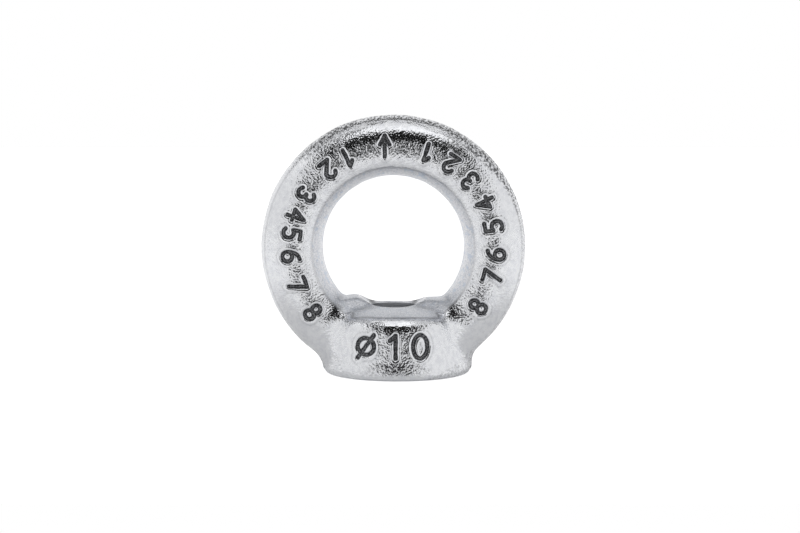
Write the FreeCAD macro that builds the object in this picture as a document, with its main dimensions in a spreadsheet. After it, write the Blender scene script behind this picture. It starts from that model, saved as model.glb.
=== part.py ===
"""Lifting eye nut for an M10 thread, drop forged in one piece.

The nut stands on its base. The origin is the middle of the base, on the axis of the thread:
+Z runs up the thread to the top of the ring, and the hole of the ring is along Y.

The forging is built in the order in which the real one is made. A disc with a thin web and a
drafted boss are struck in one blow and flow into each other, a punch then opens the eye, and
last the threaded hole is bored from the base into the eye and countersunk at both mouths.
"""
import FreeCAD, Part
import math
import os
import Sketcher

NODE = "eye_nut"
TOUCHING = 1e-4  # a point this near to a skin lies on it

# Driving sizes, in millimetres and degrees, with what each one measures
SIZES = {
    "ring_outer_diameter": (45.0, "outside of the ring"),
    "ring_thickness": (10.0, "ring at its thickest, along Y"),
    "ring_sink": (1.0, "how far the circle of the ring would reach below the base"),
    "face_crest_inset": (5.2, "from the rim to the circle on which the ring is thickest"),
    "face_crown_radius": (9.0, "crown of the two faces of the ring"),
    "web_thickness": (4.0, "web inside the ring before it is punched out"),
    "web_fillet_radius": (4.0, "hollow between the web and the faces"),
    "eye_diameter": (24.0, "hole of the ring, at its narrowest"),
    "eye_wall_radius": (6.0, "rounding of the wall of the eye, across its width"),
    "eye_wall_flare": (36.0, "slope that the wall of the eye reaches at the faces"),
    "eye_floor_rise": (3.34, "crest of the floor above the lowest point of the hole's circle"),
    "eye_floor_radius": (16.0, "rounding of that crest"),
    "eye_floor_draft": (17.0, "fall of the floor towards each face"),
    "eye_corner_radius": (1.8, "corners between the floor and the wall of the eye"),
    "eye_edge_radius": (1.2, "edge of the eye on both faces"),
    "boss_base_diameter": (25.4, "boss at its base"),
    "boss_draft": (12.0, "taper of the boss"),
    "boss_crown_start": (8.15, "height at which the flank turns into the rounded shoulder"),
    "boss_crown_radius": (3.2, "rounded shoulder of the boss"),
    "boss_dome_radius": (27.0, "shallow dome on top of the boss, in front of the ring and behind it"),
    "boss_blend_radius": (3.5, "hollow between the boss and the ring"),
    "base_edge_radius": (0.5, "lower edge of the boss"),
    "bore_diameter": (8.5, "hole drilled for the M10 thread"),
    "countersink_diameter": (11.0, "mouth of the hole at the base"),
    "eye_countersink_diameter": (11.4, "mouth of the hole at the crest of the floor of the eye"),
    "countersink_angle": (90.0, "cone of the countersinks"),
    "tool_overrun": (4.0, "how far a cut runs out past the metal"),
}


# Heights above the base that follow from the sizes, as the sketches state them
RING_CENTRE = "sizes.ring_outer_diameter / 2 - sizes.ring_sink"
EYE_FLOOR = f"{RING_CENTRE} - sizes.eye_diameter / 2 + sizes.eye_floor_rise"


def size(name):
    return SIZES[name][0]


def ring_centre():
    return size("ring_outer_diameter") / 2 - size("ring_sink")


def eye_floor():
    return ring_centre() - size("eye_diameter") / 2 + size("eye_floor_rise")


def make_sheet(doc):
    """Puts every driving size in a cell of its own, under its own name."""
    sheet = doc.addObject("Spreadsheet::Sheet", "sizes")
    for row, (name, (value, meaning)) in enumerate(SIZES.items(), start=1):
        sheet.set(f"A{row}", name)
        sheet.set(f"B{row}", str(value))
        sheet.set(f"C{row}", meaning)
        sheet.setAlias(f"B{row}", name)
    doc.recompute()
    return sheet


class Outline:
    """A sketch on one of a body's own planes, drawn edge by edge and held by constraints."""

    START, END, CENTRE = range(1, 4)
    AXIS_H, AXIS_V = range(-1, -3, -1)
    ORIGIN = (AXIS_H, START)

    def __init__(self, body, name, role):
        plane = next(item for item in body.Origin.OriginFeatures if item.Role == role)
        self.sketch = body.newObject("Sketcher::SketchObject", name)
        self.sketch.AttachmentSupport = [(plane, "")]
        self.sketch.MapMode = "FlatFace"

    def line(self, start, end, construction=False):
        segment = Part.LineSegment(FreeCAD.Vector(*start, 0), FreeCAD.Vector(*end, 0))
        return self.sketch.addGeometry(segment, construction)

    def arc(self, centre, start, end):
        """The arc that runs anticlockwise from start to end, as a sketch stores it."""
        radius = math.dist(centre, start)
        first = math.atan2(start[1] - centre[1], start[0] - centre[0])
        last = math.atan2(end[1] - centre[1], end[0] - centre[0])
        circle = Part.Circle(FreeCAD.Vector(*centre, 0), FreeCAD.Vector(0, 0, 1), radius)
        return self.sketch.addGeometry(Part.ArcOfCircle(circle, first, last), False)

    def point(self, place):
        return self.sketch.addGeometry(Part.Point(FreeCAD.Vector(*place, 0)), True)

    def hold(self, kind, *where):
        return self.sketch.addConstraint(Sketcher.Constraint(kind, *where))

    def measure(self, kind, name, formula, *where):
        """A dimension that the sheet drives."""
        index = self.hold(kind, *where)
        self.sketch.renameConstraint(index, name)
        self.sketch.setExpression(f"Constraints.{name}", formula)

    def join(self, first, second):
        self.hold("Coincident", *first, *second)

    def mirror(self, first, second):
        """Keeps two points level, on either side of the upright axis."""
        self.hold("Symmetric", *first, *second, self.AXIS_V)


def polar(centre, radius, angle):
    """The point at an angle in degrees round a centre."""
    turn = math.radians(angle)
    return (centre[0] + radius * math.cos(turn), centre[1] + radius * math.sin(turn))


def sheet_axis(outline, half_length):
    """The axis of the ring, parallel to Y, at its height above the base."""
    height = ring_centre()
    axis = outline.line((-half_length, height), (half_length, height), construction=True)
    outline.mirror((axis, Outline.START), (axis, Outline.END))
    outline.measure("DistanceX", "axis_length", "sizes.ring_thickness",
                    axis, Outline.START, axis, Outline.END, 2 * half_length)
    outline.measure("DistanceY", "axis_height", RING_CENTRE,
                    *Outline.ORIGIN, axis, Outline.START, height)
    return axis


def ring_section(body):
    """Half of the section of the struck disc, from its axis out to the rim.

    Each side is the web, a hollow, and the crowned face. The rim is one arc between the
    two faces. The centre lines of the arcs give where they meet.
    """
    axis_height = ring_centre()
    web = size("web_thickness") / 2
    hollow = size("web_fillet_radius")
    crown = size("face_crown_radius")
    top = size("ring_outer_diameter") / 2
    reach = size("face_crest_inset")
    crest = top - reach
    crown_middle = (size("ring_thickness") / 2 - crown, axis_height + crest)
    rim = (crown_middle[0] ** 2 + reach ** 2 - crown ** 2) / (2 * (reach - crown))
    rim_middle = (0, axis_height + top - rim)
    aside = web + hollow - crown_middle[0]
    hollow_middle = (web + hollow, crown_middle[1] - math.sqrt((crown + hollow) ** 2 - aside ** 2))
    turn = math.degrees(math.atan2(hollow_middle[1] - crown_middle[1], aside))
    meets_hollow = polar(crown_middle, crown, turn)
    turn = math.degrees(math.atan2(rim_middle[1] - crown_middle[1], -crown_middle[0]))
    meets_rim = polar(crown_middle, crown, turn)

    def left(place):
        return (-place[0], place[1])

    outline = Outline(body, "ring_section", "YZ_Plane")
    start, end, centre = Outline.START, Outline.END, Outline.CENTRE
    axis = sheet_axis(outline, size("ring_thickness") / 2)
    foot = outline.line((-web, axis_height), (web, axis_height))
    web_right = outline.line((web, axis_height), (web, hollow_middle[1]))
    hollow_right = outline.arc(hollow_middle, meets_hollow, (web, hollow_middle[1]))
    crown_right = outline.arc(crown_middle, meets_hollow, meets_rim)
    rim_arc = outline.arc(rim_middle, meets_rim, left(meets_rim))
    crown_left = outline.arc(left(crown_middle), left(meets_rim), left(meets_hollow))
    hollow_left = outline.arc(left(hollow_middle), (-web, hollow_middle[1]), left(meets_hollow))
    web_left = outline.line((-web, hollow_middle[1]), (-web, axis_height))
    summit = outline.point((0, axis_height + top))

    outline.join((foot, end), (web_right, start))
    outline.join((web_left, end), (foot, start))
    outline.hold("PointOnObject", foot, end, axis)
    outline.mirror((foot, start), (foot, end))
    outline.hold("Vertical", web_right)
    outline.hold("Tangent", web_right, end, hollow_right, end)
    outline.hold("Tangent", hollow_right, start, crown_right, start)
    outline.hold("Tangent", crown_right, end, rim_arc, start)
    outline.hold("Tangent", rim_arc, end, crown_left, start)
    outline.hold("Tangent", crown_left, end, hollow_left, end)
    outline.join((hollow_left, start), (web_left, start))
    outline.mirror((crown_right, centre), (crown_left, centre))
    outline.mirror((hollow_right, centre), (hollow_left, centre))
    outline.mirror((web_right, end), (web_left, start))
    outline.hold("PointOnObject", summit, start, Outline.AXIS_V)
    outline.hold("PointOnObject", summit, start, rim_arc)

    outline.measure("DistanceX", "web", "sizes.web_thickness",
                    foot, start, foot, end, 2 * web)
    outline.measure("Radius", "hollow", "sizes.web_fillet_radius", hollow_right, hollow)
    outline.measure("Radius", "crown", "sizes.face_crown_radius", crown_right, crown)
    outline.measure("DistanceX", "crown_inset",
                    "sizes.face_crown_radius - sizes.ring_thickness / 2",
                    crown_right, centre, *Outline.ORIGIN, -crown_middle[0])
    outline.measure("DistanceY", "crest", "sizes.ring_outer_diameter / 2 - sizes.face_crest_inset",
                    axis, start, crown_right, centre, crest)
    outline.measure("DistanceY", "rim", "sizes.ring_outer_diameter / 2",
                    axis, start, summit, start, top)
    return outline.sketch


def boss_profile(body):
    """Half of the boss: base, rounded lower edge, tapered flank, rounded shoulder and dome.

    The base is measured at the sharp corner of the flank.
    """
    base = size("boss_base_diameter") / 2
    edge = size("base_edge_radius")
    draft = math.radians(size("boss_draft"))
    edge_middle = (base - edge / math.tan(math.radians(45) - draft / 2), edge)
    flank_start = polar(edge_middle, edge, size("boss_draft"))
    shoulder = size("boss_crown_start")
    crown = size("boss_crown_radius")
    dome_radius = size("boss_dome_radius")
    flank_end = (base - shoulder * math.tan(draft), shoulder)
    crown_middle = polar(flank_end, crown, 180 + size("boss_draft"))
    turn = math.degrees(math.acos(crown_middle[0] / (dome_radius - crown)))
    crown_end = polar(crown_middle, crown, turn)
    dome_middle = (0, crown_middle[1] - (dome_radius - crown) * math.sin(math.radians(turn)))
    dome_top = (0, dome_middle[1] + dome_radius)

    outline = Outline(body, "boss_profile", "YZ_Plane")
    start, end, centre = Outline.START, Outline.END, Outline.CENTRE
    foot = outline.line((0, 0), (edge_middle[0], 0))
    edge_arc = outline.arc(edge_middle, (edge_middle[0], 0), flank_start)
    flank = outline.line(flank_start, flank_end)
    crown_arc = outline.arc(crown_middle, flank_end, crown_end)
    dome = outline.arc(dome_middle, crown_end, dome_top)
    spine = outline.line(dome_top, (0, 0))
    corner = outline.point((base, 0))
    outline.join((foot, start), Outline.ORIGIN)
    outline.hold("Horizontal", foot)
    outline.hold("Tangent", foot, end, edge_arc, start)
    outline.hold("Tangent", edge_arc, end, flank, start)
    outline.hold("Tangent", flank, end, crown_arc, start)
    outline.hold("Tangent", crown_arc, end, dome, start)
    outline.join((dome, end), (spine, start))
    outline.join((spine, end), (foot, start))
    outline.hold("Vertical", spine)
    outline.hold("PointOnObject", dome, centre, Outline.AXIS_V)
    outline.hold("PointOnObject", corner, start, Outline.AXIS_H)
    outline.hold("PointOnObject", corner, start, flank)
    outline.measure("DistanceX", "base", "sizes.boss_base_diameter / 2",
                    foot, start, corner, start, base)
    outline.measure("Radius", "edge", "sizes.base_edge_radius", edge_arc, edge)
    outline.measure("DistanceY", "shoulder", "sizes.boss_crown_start",
                    foot, start, flank, end, shoulder)
    outline.measure("Radius", "crown", "sizes.boss_crown_radius", crown_arc, crown)
    outline.measure("Radius", "dome", "sizes.boss_dome_radius", dome, dome_radius)
    outline.measure("Angle", "flank", "(90 + sizes.boss_draft) * 1 deg",
                    flank, math.radians(90) + draft)
    return outline.sketch


def eye_section(body):
    """The punch that opens the eye: a rounded waist that flares towards both faces."""
    axis_height = ring_centre()
    waist = size("eye_diameter") / 2
    wall = size("eye_wall_radius")
    flare = size("eye_wall_flare")
    half = size("boss_base_diameter") / 2 + size("tool_overrun")
    wall_middle = (0, axis_height + waist + wall)
    leaves = polar(wall_middle, wall, flare - 90)
    tip = (half, leaves[1] + (half - leaves[0]) * math.tan(math.radians(flare)))

    outline = Outline(body, "eye_section", "YZ_Plane")
    start, end, centre = Outline.START, Outline.END, Outline.CENTRE
    axis = sheet_axis(outline, size("ring_thickness") / 2)
    foot = outline.line((-half, axis_height), (half, axis_height))
    face_right = outline.line((half, axis_height), tip)
    flare_right = outline.line(leaves, tip)
    waist_arc = outline.arc(wall_middle, (-leaves[0], leaves[1]), leaves)
    flare_left = outline.line((-leaves[0], leaves[1]), (-tip[0], tip[1]))
    face_left = outline.line((-tip[0], tip[1]), (-half, axis_height))
    outline.join((foot, end), (face_right, start))
    outline.join((face_left, end), (foot, start))
    outline.hold("PointOnObject", foot, end, axis)
    outline.mirror((foot, start), (foot, end))
    outline.hold("Vertical", face_right)
    outline.join((face_right, end), (flare_right, end))
    outline.hold("Tangent", flare_right, start, waist_arc, end)
    outline.join((waist_arc, start), (flare_left, start))
    outline.join((flare_left, end), (face_left, start))
    outline.mirror((flare_left, start), (flare_right, start))
    outline.mirror((flare_left, end), (flare_right, end))
    outline.measure("DistanceX", "length", "sizes.boss_base_diameter + 2 * sizes.tool_overrun",
                    foot, start, foot, end, 2 * half)
    outline.measure("Radius", "wall", "sizes.eye_wall_radius", waist_arc, wall)
    outline.measure("DistanceY", "waist", "sizes.eye_diameter / 2 + sizes.eye_wall_radius",
                    axis, start, waist_arc, centre, waist + wall)
    outline.measure("Angle", "flare", "sizes.eye_wall_flare * 1 deg",
                    flare_right, math.radians(flare))
    return outline.sketch


def floor_section(body):
    """What the punch leaves below it: the floor, crested and falling towards both faces."""
    crest = eye_floor()
    rounding = size("eye_floor_radius")
    draft = size("eye_floor_draft")
    half = size("boss_base_diameter") / 2 + 2 * size("tool_overrun")
    crest_middle = (0, crest - rounding)
    leaves = polar(crest_middle, rounding, 90 - draft)
    eave = (half, leaves[1] - (half - leaves[0]) * math.tan(math.radians(draft)))
    depth = size("ring_outer_diameter")

    outline = Outline(body, "floor_section", "YZ_Plane")
    start, end, centre = Outline.START, Outline.END, Outline.CENTRE
    crest_arc = outline.arc(crest_middle, leaves, (-leaves[0], leaves[1]))
    slope_left = outline.line((-eave[0], eave[1]), (-leaves[0], leaves[1]))
    side_left = outline.line((-eave[0], eave[1]), (-half, -depth))
    foot = outline.line((-half, -depth), (half, -depth))
    side_right = outline.line((half, -depth), eave)
    slope_right = outline.line(eave, leaves)
    outline.hold("Tangent", slope_left, end, crest_arc, end)
    outline.join((slope_left, start), (side_left, start))
    outline.join((side_left, end), (foot, start))
    outline.join((foot, end), (side_right, start))
    outline.join((side_right, end), (slope_right, start))
    outline.join((slope_right, end), (crest_arc, start))
    outline.mirror((slope_left, start), (slope_right, start))
    outline.mirror((slope_left, end), (slope_right, end))
    outline.mirror((foot, start), (foot, end))
    outline.hold("Vertical", side_left)
    outline.measure("DistanceX", "length", "sizes.boss_base_diameter + 4 * sizes.tool_overrun",
                    foot, start, foot, end, 2 * half)
    outline.measure("DistanceY", "depth", "sizes.ring_outer_diameter",
                    foot, start, *Outline.ORIGIN, depth)
    outline.measure("Radius", "rounding", "sizes.eye_floor_radius", crest_arc, rounding)
    outline.measure("DistanceY", "crest", f"{EYE_FLOOR} - sizes.eye_floor_radius",
                    *Outline.ORIGIN, crest_arc, centre, crest - rounding)
    outline.measure("Angle", "draft", "sizes.eye_floor_draft * 1 deg",
                    slope_left, math.radians(draft))
    return outline.sketch


def base_trim_outline(body):
    """A square on the base plane, wider than the ring, that everything below it goes with."""
    half = size("ring_outer_diameter")
    outline = Outline(body, "base_trim_outline", "XY_Plane")
    start, end = Outline.START, Outline.END
    corners = [(-half, -half), (half, -half), (half, half), (-half, half)]
    sides = [outline.line(corners[n], corners[(n + 1) % 4]) for n in range(4)]
    for n in range(4):
        outline.join((sides[n], end), (sides[(n + 1) % 4], start))
        outline.hold("Horizontal" if n % 2 == 0 else "Vertical", sides[n])
    outline.hold("Symmetric", sides[0], start, sides[1], end, *Outline.ORIGIN)
    outline.measure("DistanceX", "width", "2 * sizes.ring_outer_diameter",
                    sides[0], start, sides[0], end, 2 * half)
    outline.measure("DistanceY", "depth", "2 * sizes.ring_outer_diameter",
                    sides[1], start, sides[1], end, 2 * half)
    return outline.sketch


def bore_profile(body):
    """Half of the drill and the countersinks: one at the base, one at the crest of the floor."""
    bore = size("bore_diameter") / 2
    overrun = size("tool_overrun")
    crest = eye_floor()
    half_cone = math.radians(size("countersink_angle") / 2)
    mouths = [size(name) / 2 for name in ("countersink_diameter", "eye_countersink_diameter")]
    wide_below, wide_above = (mouth + overrun * math.tan(half_cone) for mouth in mouths)
    sink_below, sink_above = ((mouth - bore) / math.tan(half_cone) for mouth in mouths)

    outline = Outline(body, "bore_profile", "YZ_Plane")
    start, end = Outline.START, Outline.END
    corners = [(0, -overrun), (wide_below, -overrun), (bore, sink_below),
               (bore, crest - sink_above), (wide_above, crest + overrun), (0, crest + overrun)]
    count = len(corners)
    sides = [outline.line(corners[n], corners[(n + 1) % count]) for n in range(count)]
    bottom, lower_cone, wall, upper_cone, top, spine = sides
    for n in range(count):
        outline.join((sides[n], end), (sides[(n + 1) % count], start))
    for level in (bottom, top):
        outline.hold("Horizontal", level)
    for upright in (wall, spine):
        outline.hold("Vertical", upright)
    outline.hold("PointOnObject", bottom, start, Outline.AXIS_V)
    outline.measure("DistanceX", "bore", "sizes.bore_diameter / 2",
                    *Outline.ORIGIN, wall, start, bore)
    outline.measure("DistanceY", "below", "sizes.tool_overrun",
                    bottom, start, *Outline.ORIGIN, overrun)
    outline.measure("DistanceY", "above", f"{EYE_FLOOR} + sizes.tool_overrun",
                    *Outline.ORIGIN, top, start, crest + overrun)
    outline.measure("Angle", "lower_cone", "(90 + sizes.countersink_angle / 2) * 1 deg",
                    lower_cone, math.radians(90) + half_cone)
    outline.measure("Angle", "upper_cone", "(90 - sizes.countersink_angle / 2) * 1 deg",
                    upper_cone, math.radians(90) - half_cone)
    run_out = "sizes.tool_overrun * tan(sizes.countersink_angle * 0.5 deg)"
    outline.measure("DistanceX", "lower_mouth", f"sizes.countersink_diameter / 2 + {run_out}",
                    bottom, start, bottom, end, wide_below)
    outline.measure("DistanceX", "upper_mouth", f"sizes.eye_countersink_diameter / 2 + {run_out}",
                    top, end, top, start, wide_above)
    return outline.sketch


def turned(body, kind, name, sketch, axis):
    """A full turn of a profile round one of its own lines."""
    feature = body.newObject(kind, name)
    feature.Profile = sketch
    feature.ReferenceAxis = (sketch, [axis])
    feature.Angle = 360
    return feature


def by_itself(feature):
    """What a feature adds or takes away, in the frame of its body."""
    shape = feature.AddSubShape.copy()
    shape.Placement = feature.Placement.multiply(shape.Placement)
    return shape


def shared_edges(shape, first, second):
    """Names of the edges that lie on the skins of both solids, where the two met."""
    names = []
    for number, edge in enumerate(shape.Edges, start=1):
        parameter = (edge.FirstParameter + edge.LastParameter) / 2
        middle = Part.Vertex(edge.valueAt(parameter))
        gaps = [middle.distToShape(solid.Shells[0])[0] for solid in (first, second)]
        if max(gaps) < TOUCHING:
            names.append(f"Edge{number}")
    return names


def rounded(body, name, feature, edges, formula):
    fillet = body.newObject("PartDesign::Fillet", name)
    fillet.Base = (feature, edges)
    fillet.setExpression("Radius", formula)
    return fillet


def make_punch(doc):
    """The tool that opens the eye: the turned waist, less the floor that it leaves standing."""
    body = doc.addObject("PartDesign::Body", "eye_punch")
    waist = turned(body, "PartDesign::Revolution", "waist", eye_section(body), "Axis0")
    doc.recompute()
    floor = body.newObject("PartDesign::Pocket", "floor")
    floor.Profile = floor_section(body)
    floor.SideType = "Symmetric"
    floor.setExpression("Length", "2 * sizes.ring_outer_diameter")
    doc.recompute()
    meeting = shared_edges(floor.Shape, waist.Shape, by_itself(floor))
    corners = [name for name in meeting
               if floor.Shape.getElement(name).BoundBox.YLength > TOUCHING]
    rounded(body, "corners", floor, corners, "sizes.eye_corner_radius")
    doc.recompute()
    return body


def make_nut(doc, punch):
    body = doc.addObject("PartDesign::Body", NODE)
    disc = turned(body, "PartDesign::Revolution", "disc", ring_section(body), "Axis0")
    doc.recompute()
    trim = body.newObject("PartDesign::Pocket", "base_trim")
    trim.Profile = base_trim_outline(body)
    trim.setExpression("Length", "sizes.ring_outer_diameter")
    doc.recompute()
    boss = turned(body, "PartDesign::Revolution", "boss", boss_profile(body), "V_Axis")
    doc.recompute()
    hollows = shared_edges(boss.Shape, trim.Shape, by_itself(boss))
    blend = rounded(body, "boss_blend", boss, hollows, "sizes.boss_blend_radius")
    doc.recompute()
    eye = body.newObject("PartDesign::Boolean", "eye")
    eye.setObjects([punch])
    eye.Type = "Cut"
    doc.recompute()
    lips = shared_edges(eye.Shape, blend.Shape, punch.Shape)
    rounded(body, "eye_edges", eye, lips, "sizes.eye_edge_radius")
    doc.recompute()
    turned(body, "PartDesign::Groove", "threaded_hole", bore_profile(body), "V_Axis")
    doc.recompute()
    return body


def check(doc, body):
    """Stops if an object failed or a cut missed the metal."""
    for item in doc.Objects:
        if "Invalid" in item.State or "Error" in item.State:
            raise RuntimeError(f"{item.Label} failed: {item.State}")
    before = None
    for feature in body.Group:
        if feature.isDerivedFrom("PartDesign::Feature"):
            if feature.Shape.isNull() or not feature.Shape.isValid():
                raise RuntimeError(f"{feature.Label} has no valid shape")
            if before and abs(feature.Shape.Volume - before.Shape.Volume) < TOUCHING:
                raise RuntimeError(f"{feature.Label} changed nothing")
            before = feature
    if len(body.Shape.Solids) != 1:
        raise RuntimeError(f"{body.Label} is not one solid")


def main():
    doc = FreeCAD.newDocument("lifting_eye_nut")
    make_sheet(doc)
    punch = make_punch(doc)
    nut = make_nut(doc, punch)
    nut.Label = NODE
    nut.Placement = FreeCAD.Placement()
    doc.recompute()
    check(doc, nut)
    os.makedirs("parts", exist_ok=True)
    nut.Shape.exportStep(f"parts/{NODE}.step")
    box = nut.Shape.optimalBoundingBox()
    print(f"{NODE}: {box.XLength:.2f} x {box.YLength:.2f} x {box.ZLength:.2f} mm,",
          f"{nut.Shape.Volume / 1000:.2f} cm3, {len(nut.Shape.Faces)} faces")


main()
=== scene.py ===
# %% [markdown]
# # A lifting eye nut in bright zinc
# The object is one forging: a round ring that a shackle goes through, standing on a short
# tapered boss that is drilled and tapped. It comes out of the dies with soft edges, a coarse
# skin and sunk marks, and then it is zinc plated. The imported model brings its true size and
# place, so this script only dresses it. A length is in millimetres times MM, and a range that
# the skin's x, y and z are compared with is in plain millimetres.

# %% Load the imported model
import math

import bmesh
import bpy
import numpy as np
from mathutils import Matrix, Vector, noise
from mathutils.bvhtree import BVHTree


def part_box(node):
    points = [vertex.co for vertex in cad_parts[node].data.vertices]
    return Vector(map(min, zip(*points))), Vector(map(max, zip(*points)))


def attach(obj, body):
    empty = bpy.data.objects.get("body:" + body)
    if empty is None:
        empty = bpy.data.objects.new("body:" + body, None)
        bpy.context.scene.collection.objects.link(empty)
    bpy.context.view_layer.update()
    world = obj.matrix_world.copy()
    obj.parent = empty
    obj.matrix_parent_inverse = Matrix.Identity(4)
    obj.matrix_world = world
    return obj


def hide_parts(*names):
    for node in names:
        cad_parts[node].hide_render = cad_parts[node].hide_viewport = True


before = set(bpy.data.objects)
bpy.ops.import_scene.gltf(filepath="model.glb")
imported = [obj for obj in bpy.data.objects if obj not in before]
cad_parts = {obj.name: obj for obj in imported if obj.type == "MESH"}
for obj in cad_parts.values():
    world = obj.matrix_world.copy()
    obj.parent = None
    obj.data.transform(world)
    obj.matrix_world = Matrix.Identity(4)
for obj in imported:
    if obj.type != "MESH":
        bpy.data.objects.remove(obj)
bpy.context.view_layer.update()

MM = 0.001
CAD_NODE = "eye_nut"
low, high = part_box(CAD_NODE)
print("the packed nut measures, in mm:", [round(side / MM, 2) for side in high - low])

# %% [markdown]
# ## The camera
# The picture was taken from a little above the ring's middle with a long lens. The values come
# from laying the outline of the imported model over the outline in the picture: a lens of about
# 119 mm on a 36 mm sensor, 450 mm away, pitched down by six degrees.

# %% Camera
CAMERA_PLACE = Vector((1.12, -450.0, 66.97)) * MM
CAMERA_PITCH = math.radians(6.2)
LENS, SENSOR = 119.24, 36
NEAREST_SEEN = 10 * MM

camera = bpy.data.objects.new("camera", bpy.data.cameras.new("camera"))
bpy.context.scene.collection.objects.link(camera)
camera.location = CAMERA_PLACE
camera.rotation_euler = (math.pi / 2 - CAMERA_PITCH, 0, 0)
camera.data.lens = LENS
camera.data.sensor_width = SENSOR
camera.data.clip_start = NEAREST_SEEN
bpy.context.scene.camera = camera
bpy.context.scene.view_settings.view_transform = "Standard"
print("camera at", [round(c / MM) for c in camera.location], "mm")

# %% [markdown]
# ## The white room
# Bright metal has hardly a colour of its own: it shows the room. A picture of the room on a
# sphere would do, but a world of one colour is plainer and lights every side alike. It is white
# at strength 1 for the camera, the metal and glass, and dimmer where it only fills the shadows.

# %% Helpers for nodes
def node(tree, kind, inputs=(), **settings):
    """A node with its settings; inputs pairs a socket's name or number with a value or an output."""
    made = tree.nodes.new(kind)
    for setting, value in settings.items():
        setattr(made, setting, value)
    for socket, value in dict(inputs).items():
        if isinstance(value, bpy.types.NodeSocket):
            tree.links.new(value, made.inputs[socket])
        else:
            made.inputs[socket].default_value = value
    return made


def maths(tree, operation, *values):
    return node(tree, "ShaderNodeMath", enumerate(values), operation=operation).outputs[0]


def ramp(tree, value, levels, ends=(0.0, 1.0), step="SMOOTHSTEP"):
    """Goes from one end to the other while the value climbs from one level to the next."""
    inputs = {"Value": value, "From Min": levels[0], "From Max": levels[1],
              "To Min": ends[0], "To Max": ends[1]}
    return node(tree, "ShaderNodeMapRange", inputs, interpolation_type=step).outputs["Result"]


# %% White surroundings
WORLD_FILL, WORLD_SEEN = 0.65, 1.0
OFF_AND_ON = (0, 1)
WHITE = (1, 1, 1, 1)

world = bpy.data.worlds.new("white_room")
bpy.context.scene.world = world
world.use_nodes = True
tree = world.node_tree
tree.nodes.clear()
path = node(tree, "ShaderNodeLightPath")
seen = maths(tree, "ADD", path.outputs["Is Camera Ray"], path.outputs["Is Glossy Ray"])
seen = maths(tree, "ADD", seen, path.outputs["Is Transmission Ray"])
strength = ramp(tree, seen, OFF_AND_ON, (WORLD_FILL, WORLD_SEEN))
background = node(tree, "ShaderNodeBackground", {"Color": WHITE, "Strength": strength})
node(tree, "ShaderNodeOutputWorld", {"Surface": background.outputs[0]})
print("the room is white at", WORLD_SEEN, "and fills the shadows at", WORLD_FILL)

# %% [markdown]
# ## Lamps and screens
# A white room alone would leave the metal flat and pale. So screens of black cloth stand on the
# camera's side with large soft lamps before them, and a small black flag hangs before the lamps.
# The gap between the left and the right lamps draws the dark patches on the ring and the boss.
# Each lamp and screen is a patch of a dome round the nut that shows one even grey, so its place
# on the metal follows from its angles, and its tone there from its brightness alone. An area
# light is less sure here, because the metal sees it added to the white room behind it.

# %% Helpers that put things round the nut
def direction(azimuth, elevation):
    """A unit vector. Azimuth 0 points to the camera, 90 to the right; elevation is above the table."""
    a, e = math.radians(azimuth), math.radians(elevation)
    return Vector((math.sin(a) * math.cos(e), -math.cos(a) * math.cos(e), math.sin(e)))


def new_object(name, mesh):
    obj = bpy.data.objects.new(name, mesh)
    bpy.context.scene.collection.objects.link(obj)
    return obj


def mesh_of(bm, name):
    """Closes a bmesh and gives the mesh that holds it."""
    mesh = bpy.data.meshes.new(name)
    bm.to_mesh(mesh)
    bm.free()
    return mesh


# %% One patch of the dome
OBJECT_MIDDLE = Vector((0, 0, 20)) * MM
PATCH_ROWS, PATCH_COLUMNS = 16, 32
PATCH_WELD = 0.1 * MM


def even_glow(name, brightness):
    """A material that shows one grey everywhere: bright for a soft lamp, near black for cloth."""
    material = bpy.data.materials.new(name)
    material.use_nodes = True
    tree = material.node_tree
    tree.nodes.clear()
    glow = node(tree, "ShaderNodeEmission", {"Strength": brightness})
    node(tree, "ShaderNodeOutputMaterial", {"Surface": glow.outputs[0]})
    return material


def dome_patch(name, distance, azimuths, elevations, brightness):
    """A piece of a sphere round the nut, between two azimuths and two elevations."""
    bm = bmesh.new()
    first = bm.verts.new(direction(azimuths[0], elevations[0]) * distance)
    a = math.radians(azimuths[0])
    rise_angle = math.radians(elevations[1] - elevations[0])
    bmesh.ops.spin(bm, geom=[first], cent=(0, 0, 0), axis=(math.cos(a), math.sin(a), 0),
                   angle=-rise_angle, steps=PATCH_ROWS)
    edges = list(bm.edges)
    turn = math.radians(azimuths[1] - azimuths[0])
    bmesh.ops.spin(bm, geom=edges, cent=(0, 0, 0), axis=(0, 0, 1), angle=turn, steps=PATCH_COLUMNS)
    bmesh.ops.remove_doubles(bm, verts=bm.verts, dist=PATCH_WELD)
    bmesh.ops.translate(bm, verts=bm.verts, vec=OBJECT_MIDDLE)
    patch = new_object(name, mesh_of(bm, name))
    patch.data.materials.append(even_glow(name, brightness))
    patch.visible_camera = False
    return patch


# %% Set up the lamps and the screens
FAR, MIDDLE, NEAR = 900 * MM, 600 * MM, 560 * MM
BLACK_CLOTH, GREY_CLOTH = 0.004, 0.08
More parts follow.
